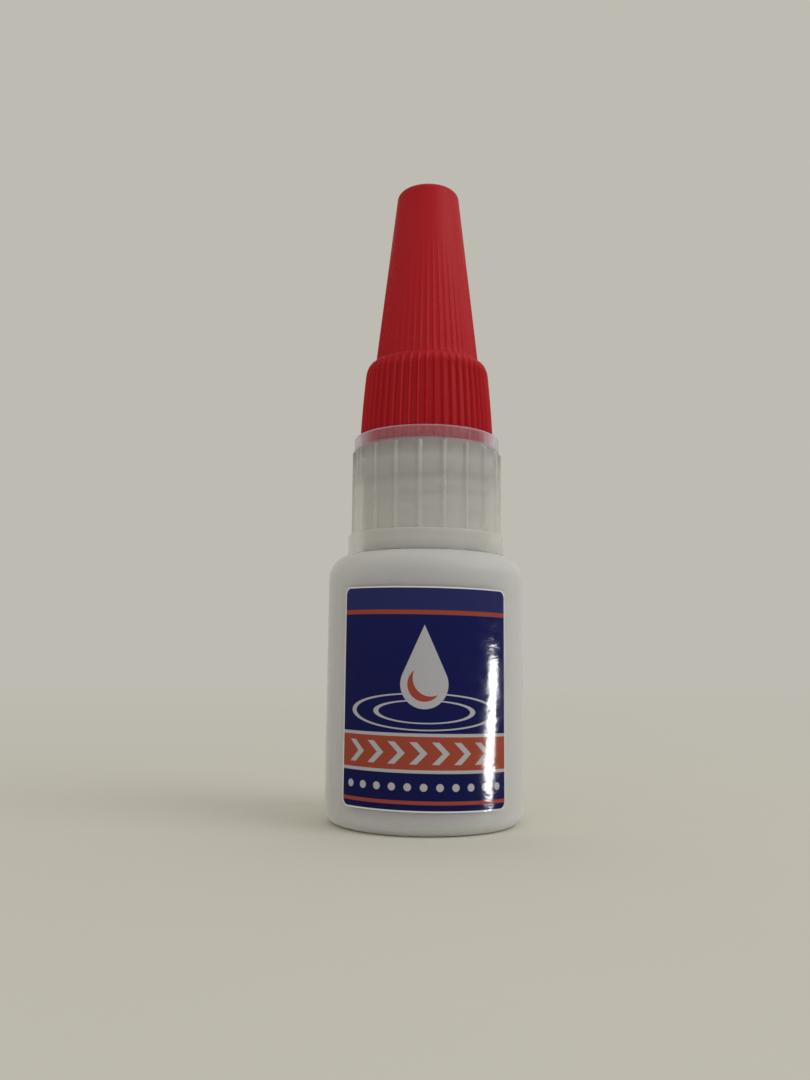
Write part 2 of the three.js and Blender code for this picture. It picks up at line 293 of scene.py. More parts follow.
# Stage
SKY = (0.62, 0.60, 0.552, 1)  # what lights the object from all round
BACKDROP = (0.515, 0.497, 0.445, 1)  # what is seen of it
FLOOR_LIT = ((0.80, 0.785, 0.73, 1), (0.83, 0.815, 0.76, 1))
FLOOR_SEEN = ((0.665, 0.65, 0.59, 1), (0.69, 0.675, 0.615, 1))
FLOOR_RADIUS = 2000
FLOOR_FACETS = 96
FLOOR_DROP = 0.02
FLOOR_FADE = 120  # distance at which half of it has faded into the background
FLOOR_FADE_RANGE = (0.15, 0.85)  # nearness at which it is all background and all floor
CARD_GREY = ((0.09, 0.09, 0.09, 1), (0.11, 0.11, 0.11, 1))
CARD_RADIUS = 300
CARD_FOOT = -400
CARD_COLUMNS = 48
CARDS = {"card_front": (-140, 38, 800), "card_side": (38, 100, 100)}  # first and last degree, and top
WINDOW = {
    "place": (420, -200, 380),
    "aim": (0, 0, 40),
    "size": (350, 350),
    "watts": 0.82,
}
STRIP = {
    "place": (37, -14.8, 10),
    "aim": (7.5, -9.6, 10),
    "size": (6.5, 20.7),
    "watts": 0.0152,
    "lean": -16,  # degrees
}

# The camera stands low in front and looks slightly up
FRAME_HEIGHT = 1080  # pixels
FOCAL_LENGTH = 947  # pixels
CAMERA_PLACE = (0.44, -118.2, 18.62)
CAMERA_RISE = 7.57  # degrees
CAMERA_TURN = 1.48  # degrees to the left
CAMERA_ROLL = 0.57  # degrees
CAMERA_NEAR = 1


def smooth(share):
    """0 below 0, 1 above 1, and an even ease between them."""
    held = np.clip(share, 0, 1)
    return held * held * (3 - 2 * held)


def arc(centre, start, end):
    """Points of the shorter arc about a centre, from a start to an end at the same distance."""
    first, last = start - centre, end - centre
    sweep = first.angle_signed(last)
    step = min(ARC_STEP, 2 * math.acos(1 - ARC_SAG / first.length))
    steps = max(2, math.ceil(abs(sweep) / step))
    turns = [Matrix.Rotation(-sweep * k / steps, 2) for k in range(steps + 1)]
    return [centre + turn @ first for turn in turns]


def outline(*corners):
    """Points through corners of radius, height and, where it is rounded, the corner's rounding."""
    points = []
    for k, (radius, height, *rounding) in enumerate(corners):
        here = Vector((radius, height))
        if not rounding:
            points.append(here)
            continue
        before = (Vector(corners[k - 1][:2]) - here).normalized()
        after = (Vector(corners[k + 1][:2]) - here).normalized()
        half = before.angle(after) / 2
        reach = rounding[0] / math.tan(half)
        centre = here + (before + after).normalized() * rounding[0] / math.sin(half)
        points += arc(centre, here + before * reach, here + after * reach)
    return points


def bow(start, control, end, steps):
    """Points of a quadratic curve."""
    start, control, end = Vector(start), Vector(control), Vector(end)
    shares = [k / steps for k in range(steps + 1)]
    return [(1 - t) ** 2 * start + 2 * t * (1 - t) * control + t * t * end for t in shares]


def finer(points, step):
    """The same outline with no stretch longer than a step."""
    made = [points[0]]
    for start, end in zip(points, points[1:]):
        count = max(1, math.ceil((end - start).length / step))
        made += [start.lerp(end, k / count) for k in range(1, count + 1)]
    return made


def even(count):
    """Angles of evenly spaced places round the axis."""
    return np.arange(count) * TURN / count


def stations(count, turn, offsets):
    """Angles of the same offsets about each of a number of evenly spaced places."""
    angles = [turn + k * TURN / count + offset for k in range(count) for offset in offsets]
    return np.sort(np.mod(angles, TURN))


def round_axis(radius, angle, height):
    """Points by distance from the axis, angle and height, each one number or an array."""
    return np.stack(np.broadcast_arrays(radius * np.sin(angle), -radius * np.cos(angle), height), -1)


def revolve(stretches, angles):
    """Vertices and faces of an outline turned about Z. A stretch of it is its points and a relief, which
    moves the surface outwards by angle and height. The outline's ends are on the axis, or are joined."""
    rows = []
    for points, relief in stretches:
        for point in points:
            if not rows or (point - rows[-1][0]).length > TINY:
                rows.append((point, relief))
    closed = rows[0][0].x > TINY
    if closed and (rows[0][0] - rows[-1][0]).length < TINY:
        rows.pop()
    vertices = []
    rings = []
    for point, relief in rows:
        first = len(vertices)
        if point.x < TINY:
            vertices.append((0, 0, point.y))
            rings.append(np.full(len(angles), first))
            continue
        reach = point.x + (relief(angles, point.y) if relief else 0)
        vertices += round_axis(reach, angles, point.y).tolist()
        rings.append(np.arange(first, first + len(angles)))
    faces = []
    for k in range(len(rings) if closed else len(rings) - 1):
        lower, upper = rings[k], rings[(k + 1) % len(rings)]
        for a, b, c, d in zip(lower, np.roll(lower, -1), np.roll(upper, -1), upper):
            faces.append(list(dict.fromkeys((int(a), int(b), int(c), int(d)))))
    return vertices, faces


def add_object(name, vertices, faces, material):
    """Puts a mesh in the scene, with its vertices in millimetres."""
    mesh = bpy.data.meshes.new(name)
    mesh.from_pydata(np.array(vertices) * MM, [], faces)
    mesh.materials.append(material)
    made = bpy.data.objects.new(name, mesh)
    bpy.context.scene.collection.objects.link(made)
    return made


def add_piece(name, shape, body, material, slot, *nodes):
    """Makes a smooth piece of vertices and faces that rides on a body and stands for CAD nodes."""
    piece = add_object(name, *shape, material)
    turned = bmesh.new()
    turned.from_mesh(piece.data)
    bmesh.ops.recalc_face_normals(turned, faces=turned.faces)
    turned.to_mesh(piece.data)
    turned.free()
    piece.data.shade_smooth()
    piece.data.set_sharp_from_angle(angle=SHARP_EDGE)
    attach(piece, body)
    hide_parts(*nodes)


def thread(foot, turns, height):
    """Relief of a right-hand thread: a rounded ridge that climbs by its pitch and runs out at both ends."""
    def relief(angles, level):
        along = angles / TURN
        turn = along + np.round((level - foot) / THREAD_PITCH - along)
        away = np.abs(level - foot - THREAD_PITCH * turn)
        ridge = smooth((THREAD_WIDTH / 2 - away) / THREAD_FLANK)
        ends = smooth(turn / THREAD_RUN_OUT) * smooth((turns - turn) / THREAD_RUN_OUT)
        return height * ridge * ends
    return relief


def seam(angles, level):
    """Relief of the mould's parting line, a fine groove at the left and the right, alike at every level."""
    away = np.abs(np.cos(angles)) * BODY_RADIUS
    return -SEAM_DEPTH * smooth(1 - away / (SEAM_WIDTH / 2))


def from_nearest(angles, count, turn, radius):
    """Distance along a circle from the nearest of a number of evenly spaced places."""
    pitch = TURN / count
    return np.abs((angles - turn + pitch / 2) % pitch - pitch / 2) * radius


def grips(angles, level):
    """Relief of the collar's grip ribs, with rounded tops and sloped upper ends."""
    away = from_nearest(angles, GRIP_RIBS, GRIP_TURN, COLLAR_RADIUS)
    across = smooth((GRIP_WIDTH / 2 - away) / GRIP_FLANK)
    up = np.clip((GRIP_TOP - level) / GRIP_CHAMFER, 0, 1)
    return GRIP_DEPTH * across * up


def cap_ribs(angles, level):
    """Relief of the valleys between the cap's rounded ribs, which fade out up the shoulder and the cone."""
    away = from_nearest(angles, CAP_RIBS, 0, CAP_RIM_RADIUS)
    ridge = np.cos(np.clip(away / CAP_RIB_WIDTH, 0, 0.5) * math.pi) ** 2
    if level > RIDGE - TINY:
        depth = CONE_RIB_DEPTH * max(0.0, 1 - (level - RIDGE) / CONE_RIB_LENGTH)
    else:
        depth = SKIRT_RIB_DEPTH * min(1.0, (RIDGE - level) / (RIDGE - SKIRT_TOP))
    return -depth * (1 - ridge)


def cone_radius(level):
    """Radius of the cap's cone at a height."""
    share = (level - RIDGE) / (CAP_TOP - CAP_EDGE - RIDGE)
    foot = RIDGE_RADIUS - RIDGE_LEDGE
    return foot + (CONE_TOP_RADIUS - foot) * share


def cavity(gap):
    """Corners of the inside of the bottle's base, drawn in by a gap, from the axis to the straight wall."""
    radius = BODY_RADIUS - BODY_WALL - gap
    floor = BODY_WALL + gap
    ring = BODY_RADIUS - HEEL_ROUND - STANDING_RING
    return [
        (0, floor + PUSH_UP),
        (ring - PUSH_UP_RAMP, floor + PUSH_UP, SOFT_ROUND),
        (ring, floor, SOFT_ROUND),
        (radius, floor, HEEL_ROUND - BODY_WALL - gap),
    ]


def make_bottle():
    heel = BODY_RADIUS - HEEL_ROUND
    ring = heel - STANDING_RING
    ceiling = BODY_HEIGHT - BODY_WALL
    neck_foot = (NECK_RADIUS + 2 * NECK_FILLET, BODY_HEIGHT)
    neck_end = (NECK_RADIUS, MOUTH - NECK_PLAIN_END)
    base = outline(
        (0, PUSH_UP),
        (ring - PUSH_UP_RAMP, PUSH_UP, SOFT_ROUND),
        (ring, 0, EDGE_ROUND),
        (heel, 0),
    )
    wall = outline(
        (heel, 0),
        (BODY_RADIUS, 0, HEEL_ROUND),
        (BODY_RADIUS, BODY_HEIGHT, SHOULDER_ROUND),
        neck_foot,
    )
    neck = outline(neck_foot, (NECK_RADIUS, BODY_HEIGHT, NECK_FILLET), neck_end)
    inside = outline(
        neck_end,
        (NECK_RADIUS, MOUTH, EDGE_ROUND),
        (NECK_BORE, MOUTH, EDGE_ROUND),
        (NECK_BORE, ceiling, NECK_BORE_ROUND),
        (BODY_RADIUS - BODY_WALL, ceiling, SHOULDER_ROUND - BODY_WALL),
        *reversed(cavity(0)),
    )
    stretches = [
        (base, None),
        (finer(wall, WALL_STEP), seam),
        (finer(neck, THREAD_STEP), thread(NECK_THREAD_FOOT, NECK_THREAD_TURNS, NECK_THREAD_HEIGHT)),
        (inside, None),
    ]
    sides = stations(2, TURN / 4, SEAM_OFFSETS)
    angles = np.unique(np.concatenate([even(BOTTLE_FACETS), sides]).round(ANGLE_DIGITS))
    return revolve(stretches, angles)


def make_adhesive():
    level = FILL_TOP - MENISCUS
    edge = outline(*cavity(FILL_GAP), (FILL_RADIUS, FILL_TOP))
    surface = bow(
        (FILL_RADIUS, FILL_TOP),
        (FILL_RADIUS - MENISCUS, level),
        (FILL_RADIUS - MENISCUS_REACH, level),
        MENISCUS_STEPS,
    )
    middle = [Vector((0, level))]
    return revolve([(edge, None), (surface, None), (middle, None)], even(FILL_FACETS))


def make_label():
    """A rounded rectangle of film, bent round the bottle, with a slight tilt."""
    corner = LABEL_CORNER * (1 - np.cos(np.linspace(0, TURN / 4, LABEL_CORNER_STEPS + 1)))
    low = LABEL_FOOT + corner
    high = LABEL_TOP - corner[::-1]
    middle = np.linspace(low[-1], high[0], LABEL_ROWS)[1:-1]
    levels = np.concatenate([low, middle, high])
    short = np.clip(np.maximum(low[-1] - levels, levels - high[0]), 0, LABEL_CORNER)
    half = LABEL_WIDTH / 2 - LABEL_CORNER + np.sqrt(LABEL_CORNER ** 2 - short ** 2)
    run = half[:, None] * np.linspace(-1, 1, LABEL_COLUMNS)
    height = levels[:, None] + LABEL_TILT * run
    radii = (LABEL_RADIUS, LABEL_RADIUS - LABEL_FILM)
    places = np.stack([round_axis(radius, run / LABEL_RADIUS, height) for radius in radii])
    vertices = places.reshape(-1, 3)
    sheets = np.arange(len(vertices)).reshape(2, *run.shape)
    faces = []
    loops = []
    for sheet in sheets:
        quads = np.stack([sheet[:-1, :-1], sheet[:-1, 1:], sheet[1:, 1:], sheet[1:, :-1]], -1)
        faces += quads.reshape(-1, 4).tolist()
        loops.append(np.concatenate([sheet[0, :], sheet[1:, -1], sheet[-1, -2::-1], sheet[-2:0:-1, 0]]))
    front, back = loops
    faces += np.stack([front, np.roll(front, -1), np.roll(back, -1), back], -1).tolist()
    return vertices, faces


def make_nozzle():
    rim_top = RIM + RIM_HEIGHT
    lip_bore = COLLAR_RADIUS - LIP_WALL
    boss_foot = (BOSS_RADIUS, DECK_TOP + BOSS_PLAIN_FOOT)
    boss_end = (BOSS_RADIUS, BOSS_TOP - BOSS_PLAIN_TOP)
    bore_foot = (COLLAR_BORE, RIM + NECK_PLAIN_END)
    bore_end = (COLLAR_BORE, DECK - NECK_PLAIN_END)
    collar = outline(
        bore_foot,
        (COLLAR_BORE, RIM, EDGE_ROUND),
        (RIM_RADIUS, RIM, FINE_ROUND),
        (RIM_RADIUS, rim_top, RIM_TOP_ROUND),
        (COLLAR_RADIUS + RIM_FLAT_END, rim_top),
    )
    grip = outline(
        (COLLAR_RADIUS + GRIP_ROOT, rim_top),
        (COLLAR_RADIUS, rim_top, GRIP_ROOT),
        (COLLAR_RADIUS, GRIP_TOP - GRIP_CHAMFER),
        (COLLAR_RADIUS, GRIP_TOP),
    )
    deck = outline(
        (COLLAR_RADIUS, GRIP_TOP),
        (COLLAR_RADIUS, LIP_TOP, LIP_ROUND),
        (lip_bore, LIP_TOP, LIP_ROUND),
        (lip_bore, DECK_TOP, SMALL_ROUND),
        (BOSS_RADIUS, DECK_TOP, SMALL_ROUND),
        boss_foot,
    )
    spout = outline(
        boss_end,
        (BOSS_RADIUS, BOSS_TOP, BOSS_ROUND),
        (SPOUT_FOOT_RADIUS, BOSS_TOP, SPOUT_FILLET),
        (SPOUT_TIP_RADIUS, TIP, SPOUT_LIP),
        (OUTLET_RADIUS, TIP, FINE_ROUND),
        (OUTLET_RADIUS, TIP - OUTLET_LENGTH, SOFT_ROUND),
        (SPOUT_FOOT_RADIUS - NOZZLE_WALL, BOSS_TOP - NOZZLE_WALL, SPOUT_FILLET),
        (BOSS_BORE, BOSS_TOP - NOZZLE_WALL, SOFT_ROUND),
        (BOSS_BORE, DECK, SMALL_ROUND),
        (PLUG_BORE, DECK - PLUG_CHAMFER, SMALL_ROUND),
        (PLUG_BORE, DECK - PLUG_LENGTH, PLUG_EDGE),
        (PLUG_RADIUS, DECK - PLUG_LENGTH, SOFT_ROUND),
        (PLUG_RADIUS, DECK, SMALL_ROUND),
        (COLLAR_BORE, DECK, EDGE_ROUND),
        bore_end,
    )
    boss = finer(outline(boss_foot, boss_end), THREAD_STEP)
    bore = finer(outline(bore_end, bore_foot), THREAD_STEP)
    stretches = [
        (collar, None),
        (finer(grip, GRIP_STEP), grips),
        (deck, None),
        (boss, thread(BOSS_THREAD_FOOT, BOSS_THREAD_TURNS, BOSS_THREAD_HEIGHT)),
        (finer(spout, WALL_STEP), None),
        (bore, thread(NECK_THREAD_FOOT + THREAD_PITCH / 2, NECK_THREAD_TURNS, -COLLAR_THREAD_HEIGHT)),
    ]
    half = GRIP_WIDTH / 2
    flank = [half - GRIP_FLANK * k / GRIP_FLANK_STEPS for k in range(GRIP_FLANK_STEPS + 1)]
    valley = np.linspace(half, TURN * COLLAR_RADIUS / GRIP_RIBS / 2, GRIP_VALLEY_STEPS + 1)[1:]
    side = np.array([*flank, *valley])
    offsets = np.unique(np.concatenate([[0], side, -side[:-1]])) / COLLAR_RADIUS
    return revolve(stretches, stations(GRIP_RIBS, GRIP_TURN, offsets))


def make_cap():
    skirt_foot = CAP_RIM + CAP_RIM_ROUND
    skirt_inset = CAP_RIM_RADIUS - CAP_RIM_ROUND
    skirt_middle = ((CAP_RIM_RADIUS + SKIRT_RADIUS) / 2 + SKIRT_BULGE, (CAP_RIM + SKIRT_TOP) / 2)
    crown = (SKIRT_RADIUS - SHOULDER_DRAW, RIDGE - SHOULDER_DRAW)
    cone_end = (CONE_TOP_RADIUS, CAP_TOP - CAP_EDGE)
    ledge = CAP_BORE_TOP + CONE_LEDGE
    socket = PIN_RADIUS + PIN_GAP
    bore_foot = (CAP_BORE, CAP_RIM + CAP_PLAIN_FOOT)
    bore_end = (CAP_BORE, CAP_BORE_TOP - CAP_PLAIN_TOP)
    inside = outline(
        (0, PIN_TOP + PIN_GAP),
        (socket, PIN_TOP + PIN_GAP),
        (socket, PIN_BOSS_FOOT, PIN_BOSS_EDGE),
        (socket + PIN_BOSS_WALL, PIN_BOSS_FOOT, SMALL_ROUND),
        (socket + PIN_BOSS_WALL, CAP_CEILING, EDGE_ROUND),
        (cone_radius(CAP_CEILING) - CONE_WALL, CAP_CEILING, SOFT_ROUND),
        (cone_radius(ledge) - CONE_WALL, ledge, SMALL_ROUND),
        (CAP_BORE, CAP_BORE_TOP, EDGE_ROUND),
        bore_end,
    )
    bore = finer(outline(bore_end, bore_foot), THREAD_STEP)
    lip = outline(bore_foot, (CAP_BORE, CAP_RIM, EDGE_ROUND), (CAP_RIM_RADIUS - CAP_RIM_FLAT_END, CAP_RIM))
    skirt = [
        *arc(
            Vector((skirt_inset, skirt_foot)),
            Vector((skirt_inset, CAP_RIM)),
            Vector((CAP_RIM_RADIUS, skirt_foot)),
        ),
        *bow((CAP_RIM_RADIUS, skirt_foot), skirt_middle, (SKIRT_RADIUS, SKIRT_TOP), SKIRT_STEPS),
    ]
    shoulder = bow((SKIRT_RADIUS, SKIRT_TOP), crown, (RIDGE_RADIUS, RIDGE), SHOULDER_STEPS)
    cone = finer(outline((RIDGE_RADIUS - RIDGE_LEDGE, RIDGE), cone_end), CONE_STEP)
    top = outline(cone_end, (CONE_TOP_RADIUS, CAP_TOP, CAP_EDGE), (0, CAP_TOP))
    stretches = [
        (finer(inside, WALL_STEP), None),
        (bore, thread(BOSS_THREAD_FOOT + THREAD_PITCH / 2, BOSS_THREAD_TURNS, -CAP_THREAD_HEIGHT)),
        (lip, None),
        (skirt, cap_ribs),
        (shoulder, cap_ribs),
        (cone, cap_ribs),
        (top, None),
    ]
    return revolve(stretches, even(CAP_RIBS * CAP_RIB_FACETS))


def make_pin():
    edge = outline(
        (0, PIN_FOOT),
        (PIN_RADIUS, PIN_FOOT, PIN_POINT),
        (PIN_RADIUS, PIN_TOP, PIN_HEAD_ROUND),
        (0, PIN_TOP),
    )
    return revolve([(finer(edge, PIN_STEP), None)], even(PIN_FACETS))


class Nodes:
    """A node tree and short calls for its nodes."""

    def __init__(self, tree):
        self.tree = tree

    def put(self, value, socket):
        """Links an output to a socket, or sets the socket to a constant."""
        if isinstance(value, bpy.types.NodeSocket):
            self.tree.links.new(value, socket)
        else:
            socket.default_value = value

    def node(self, kind, inputs=None, output=0, **settings):
        """Adds a node and returns one of its outputs."""
        made = self.tree.nodes.new(kind)
        for key, value in settings.items():
            setattr(made, key, value)
        for key, value in (inputs or {}).items():
            self.put(value, made.inputs[key])
        return made.outputs[output]

    def math(self, operation, *values):
        return self.node("ShaderNodeMath", dict(enumerate(values)), operation=operation)

    def ramp(self, value, low, high, to_low, to_high):
        """A value mapped from one range to another, and held at its ends."""
        inputs = {"Value": value, "From Min": low, "From Max": high, "To Min": to_low, "To Max": to_high}
        return self.node("ShaderNodeMapRange", inputs)

    def mix(self, share, first, second):
        """One value turning into another: the Mix node's inputs 2 and 3."""
        return self.node("ShaderNodeMix", {0: share, 2: first, 3: second})

    def blend(self, share, first, second):
        """One colour turning into another: the Mix node's inputs 6 and 7."""
        inputs = {0: share, 6: first, 7: second}
        return self.node("ShaderNodeMix", inputs, output=2, data_type="RGBA")

    def lit_or_seen(self, lit, seen):
        """One colour for the rays that light the object, and one for those that show what is round it."""
        rays = self.tree.nodes.new("ShaderNodeLightPath").outputs
        share = rays["Is Camera Ray"]
        for ray in ("Is Glossy Ray", "Is Transmission Ray"):
            share = self.math("MAXIMUM", share, rays[ray])
        return self.blend(share, lit, seen)


class Paint(Nodes):
    """A material, with its places, noises and shader."""

    def __init__(self, name, settings):
        self.material = bpy.data.materials.new(name)
        self.material.use_nodes = True
        super().__init__(self.material.node_tree)
        self.shader = self.tree.nodes["Principled BSDF"]
        for socket, value in settings.items():
            self.shader.inputs[socket].default_value = value
        self.place = self.node("ShaderNodeTexCoord", output="Object")

    def grain(self, size, stretch=(1, 1, 1), detail=2.0):
        """Noise with blotches of a size in millimetres, drawn out along the axes."""
        scale = [1 / (size * MM * axis) for axis in stretch]
        place = self.node("ShaderNodeVectorMath", {0: self.place, 1: scale}, operation="MULTIPLY")
        return self.node("ShaderNodeTexNoise", {"Vector": place, "Scale": 1.0, "Detail": detail})

    def far(self):
        """Distance from the axis, in millimetres."""
        scale = (1 / MM, 1 / MM, 0)
        flat = self.node("ShaderNodeVectorMath", {0: self.place, 1: scale}, operation="MULTIPLY")
        return self.node("ShaderNodeVectorMath", {0: flat}, output="Value", operation="LENGTH")

    def axis(self, k):
        """Place along X, Y or Z, in metres."""
        return self.node("ShaderNodeSeparateXYZ", {0: self.place}, output=k)

    def height(self):
        """Height above the base, in millimetres."""
        return self.math("DIVIDE", self.axis(2), MM)

    def slant(self):
        """0 where the surface is seen straight on, and 1 where it is seen from its side."""
        return self.node("ShaderNodeLayerWeight", {"Blend": 0.5}, output="Facing")

    def colour(self, value):
        self.put(value, self.shader.inputs["Base Color"])

    def alpha(self, value):
        self.put(value, self.shader.inputs["Alpha"])

    def roughness(self, noise, low, high):
        """Roughness that follows a noise, from a low to a high value."""
        self.put(self.ramp(noise, *NOISE_RANGE, low, high), self.shader.inputs["Roughness"])

    def bump(self, noise, depth):
        """Unevenness of a depth in millimetres."""
        inputs = {"Height": noise, "Distance": depth * MM, "Strength": 1.0}
        self.put(self.node("ShaderNodeBump", inputs), self.shader.inputs["Normal"])


def milky_plastic():
    paint = Paint("milky_polyethylene", {
        "Subsurface Weight": 1.0,
        "Subsurface Radius": (1.0, 0.97, 0.9),
        "Subsurface Scale": 6 * MM,
        "IOR": 1.5,
        "Specular IOR Level": 0.25,
    })
    paint.colour(paint.blend(paint.grain(size=7, stretch=(1, 1, 1.6)), *MILKY))
    paint.roughness(paint.grain(size=1.2), low=0.3, high=0.42)
    # The wall is clearest where it is seen straight on
    paint.alpha(paint.ramp(paint.slant(), 0, BODY_COVER_SLANT, BODY_COVER, 1))
    paint.bump(paint.grain(size=0.6, stretch=(1, 1, 2)), depth=0.012)
    return paint.material


def natural_plastic():
    paint = Paint("natural_polyethylene", {
        "Subsurface Weight": 1.0,
        "Subsurface Radius": (1.0, 0.97, 0.92),
        "Subsurface Scale": 1 * MM,
        "IOR": 1.5,
    })
    height = paint.height()
    outside = paint.ramp(paint.far(), COLLAR_RADIUS - 2 * LIP_WALL, COLLAR_RADIUS - LIP_WALL, 0, 1)
    above = paint.ramp(height, *(DECK_TOP + step for step in LIP_FOOT_FADE), 0, 1)
    lip = paint.math("MULTIPLY", outside, above)

    # The thin lip lets most through, above all seen straight on, the walls less and the deck least
    foot = paint.ramp(height, RIM, RIM + RIM_COVER_FADE, -RIM_COVER_LOSS, 0)
    rise = paint.ramp(height, DECK - DECK_COVER_FADE, DECK, COLLAR_COVER, DECK_COVER)
    edge = paint.ramp(height, *(LIP_TOP + step for step in LIP_EDGE_FADE), 0, LIP_EDGE_COVER)
    thin = paint.ramp(paint.slant(), *LIP_COVER_SLANT, *LIP_COVER)
    paint.alpha(paint.mix(lip, paint.math("ADD", foot, rise), paint.math("ADD", edge, thin)))

    # Painted shade: the collar is palest at its rim and darkest under the lip, where less light falls; the
    # deck, boss and spout take a middle tone
    upwards = paint.ramp(height, RIM, DECK_TOP, 1, NATURAL_TOP_SHARE)
    ending = paint.ramp(height, DECK - NATURAL_TOP_FADE, DECK_TOP, 1, 0)
    inner = paint.ramp(outside, 0, 1, NATURAL_INNER_SHARE, 0)
    lit_share = paint.math("MAXIMUM", paint.math("MULTIPLY", upwards, ending), inner)
    cloud = paint.grain(size=5, stretch=(1, 1, 2))
    shaded_tone, lit_tone = (paint.blend(cloud, *pair) for pair in (NATURAL_SHADED_TONE, NATURAL_LIT_TONE))
    paint.colour(paint.blend(lip, paint.blend(lit_share, shaded_tone, lit_tone), NATURAL_LIP))
    paint.roughness(paint.grain(size=0.9), low=0.11, high=0.2)
    paint.bump(paint.grain(size=0.5), depth=0.01)
    return paint.material


def red_plastic():
    paint = Paint("red_polypropylene", {
        "IOR": 1.48,
        "Specular IOR Level": 0.18,
        "Subsurface Weight": 0.15,
        "Subsurface Radius": (1.0, 0.15, 0.15),
        "Subsurface Scale": 1.2 * MM,
    })
    paint.colour(paint.blend(paint.grain(size=4, stretch=(1, 1, 2)), *RED))
    paint.roughness(paint.grain(size=0.4), low=0.42, high=0.56)
    paint.bump(paint.grain(size=0.18, detail=3.0), depth=0.008)
    return paint.material


def clear_liquid():
    paint = Paint("clear_adhesive", {
        "Transmission Weight": 1.0,
        "IOR": 1.45,
    })
    paint.colour(paint.blend(paint.grain(size=6), *CLEAR))
    paint.roughness(paint.grain(size=3), low=0.03, high=0.08)
    return paint.material


def drawn_steel():
    paint = Paint("drawn_steel", {"Metallic": 1.0})
    streaks = paint.grain(size=0.12, stretch=(1, 1, 40))
    paint.colour(paint.blend(streaks, *STEEL))
    paint.roughness(streaks, low=0.2, high=0.34)
    paint.bump(streaks, depth=0.002)
    return paint.material


class Print(Paint):
    """Flat printed shapes, as masks on the label's film: run along it and height, in millimetres."""

    def __init__(self, name, settings):
        super().__init__(name, settings)
        angle = self.math("ARCTAN2", self.axis(0), self.math("MULTIPLY", self.axis(1), -1))
        self.run = self.math("MULTIPLY", angle, LABEL_RADIUS)
        self.level = self.math("SUBTRACT", self.height(), self.math("MULTIPLY", self.run, LABEL_TILT))

    def within(self, depth):
        """1 where a depth inside a shape's outline is above 0."""
        return self.ramp(depth, -PRINT_EDGE, PRINT_EDGE, 0, 1)

    def closer(self, distance, limit):
        """1 where a distance is below a limit."""
        return self.within(self.math("SUBTRACT", limit, distance))

    def both(self, first, second):
        return self.math("MINIMUM", first, second)

    def either(self, first, second):
        return self.math("MAXIMUM", first, second)

    def away(self, value, place):
        """Distance of a value from a place."""
        return self.math("ABSOLUTE", self.math("SUBTRACT", value, place))

    def band(self, value, low, high):
        """1 where a value is between two others."""
        half = (high - low) / 2
        return self.closer(self.away(value, low + half), half)

    def repeat(self, value, pitch):
        """Distance from the nearest of a row of places."""
        return self.math("PINGPONG", value, pitch / 2)

    def distance(self, across, up):
        return self.math("SQRT", self.math("ADD", self.math("POWER", across, 2), self.math("POWER", up, 2)))

    def disc(self, run, level, radius):
        return self.closer(self.distance(self.away(self.run, run), self.away(self.level, level)), radius)

    def chevrons(self):
        slant = self.math("ADD", self.run, self.away(self.level, CHEVRON_LEVEL))
        strokes = self.closer(self.repeat(slant, CHEVRON_PITCH), CHEVRON_STROKE / 2)
        half = CHEVRON_HEIGHT / 2
        strokes = self.both(strokes, self.band(self.level, CHEVRON_LEVEL - half, CHEVRON_LEVEL + half))
        return self.both(strokes, self.band(slant, -CHEVRON_ROW / 2, CHEVRON_ROW / 2))

    def dots(self):
        far = self.distance(self.repeat(self.run, DOT_PITCH), self.away(self.level, DOT_LEVEL))
        return self.both(self.closer(far, DOT_RADIUS), self.band(self.run, -DOT_ROW / 2, DOT_ROW / 2))

    def ripple(self, wide, tall):
        up = self.math("MULTIPLY", self.math("SUBTRACT", self.level, RIPPLE_LEVEL), wide / tall)
        return self.closer(self.away(self.distance(self.run, up), wide), RIPPLE_STROKE / 2)

    def drop(self):
        slope = math.asin(DROP_RADIUS / (DROP_TIP - DROP_LEVEL))
        side = self.math("MULTIPLY", self.math("SUBTRACT", DROP_TIP, self.level), math.tan(slope))
        point = self.closer(self.away(self.run, 0), side)
        point = self.both(point, self.band(self.level, DROP_LEVEL + DROP_RADIUS * math.sin(slope), DROP_TIP))
        return self.either(point, self.disc(0, DROP_LEVEL, DROP_RADIUS))

    def shine(self):
        """A crescent in the drop."""
        cut = self.disc(SHINE_CUT_SHIFT, DROP_LEVEL + SHINE_CUT_SHIFT, SHINE_CUT_RADIUS)
        left = self.math("SUBTRACT", self.disc(0, DROP_LEVEL, SHINE_RADIUS), cut)
        return self.within(self.math("SUBTRACT", left, 0.5))

    def margin(self):
        """The bare edge of the film, along its rounded outline."""
        centre = (LABEL_FOOT + LABEL_TOP) / 2
        wide = self.math("SUBTRACT", self.away(self.run, 0), LABEL_WIDTH / 2 - LABEL_CORNER)
        tall = self.math("SUBTRACT", self.away(self.level, centre), LABEL_TOP - centre - LABEL_CORNER)
        corner = self.distance(self.math("MAXIMUM", wide, 0), self.math("MAXIMUM", tall, 0))
        straight = self.math("MINIMUM", self.math("MAXIMUM", wide, tall), 0)
        inside = self.math("SUBTRACT", LABEL_CORNER, self.math("ADD", corner, straight))
        return self.closer(inside, PRINT_MARGIN)


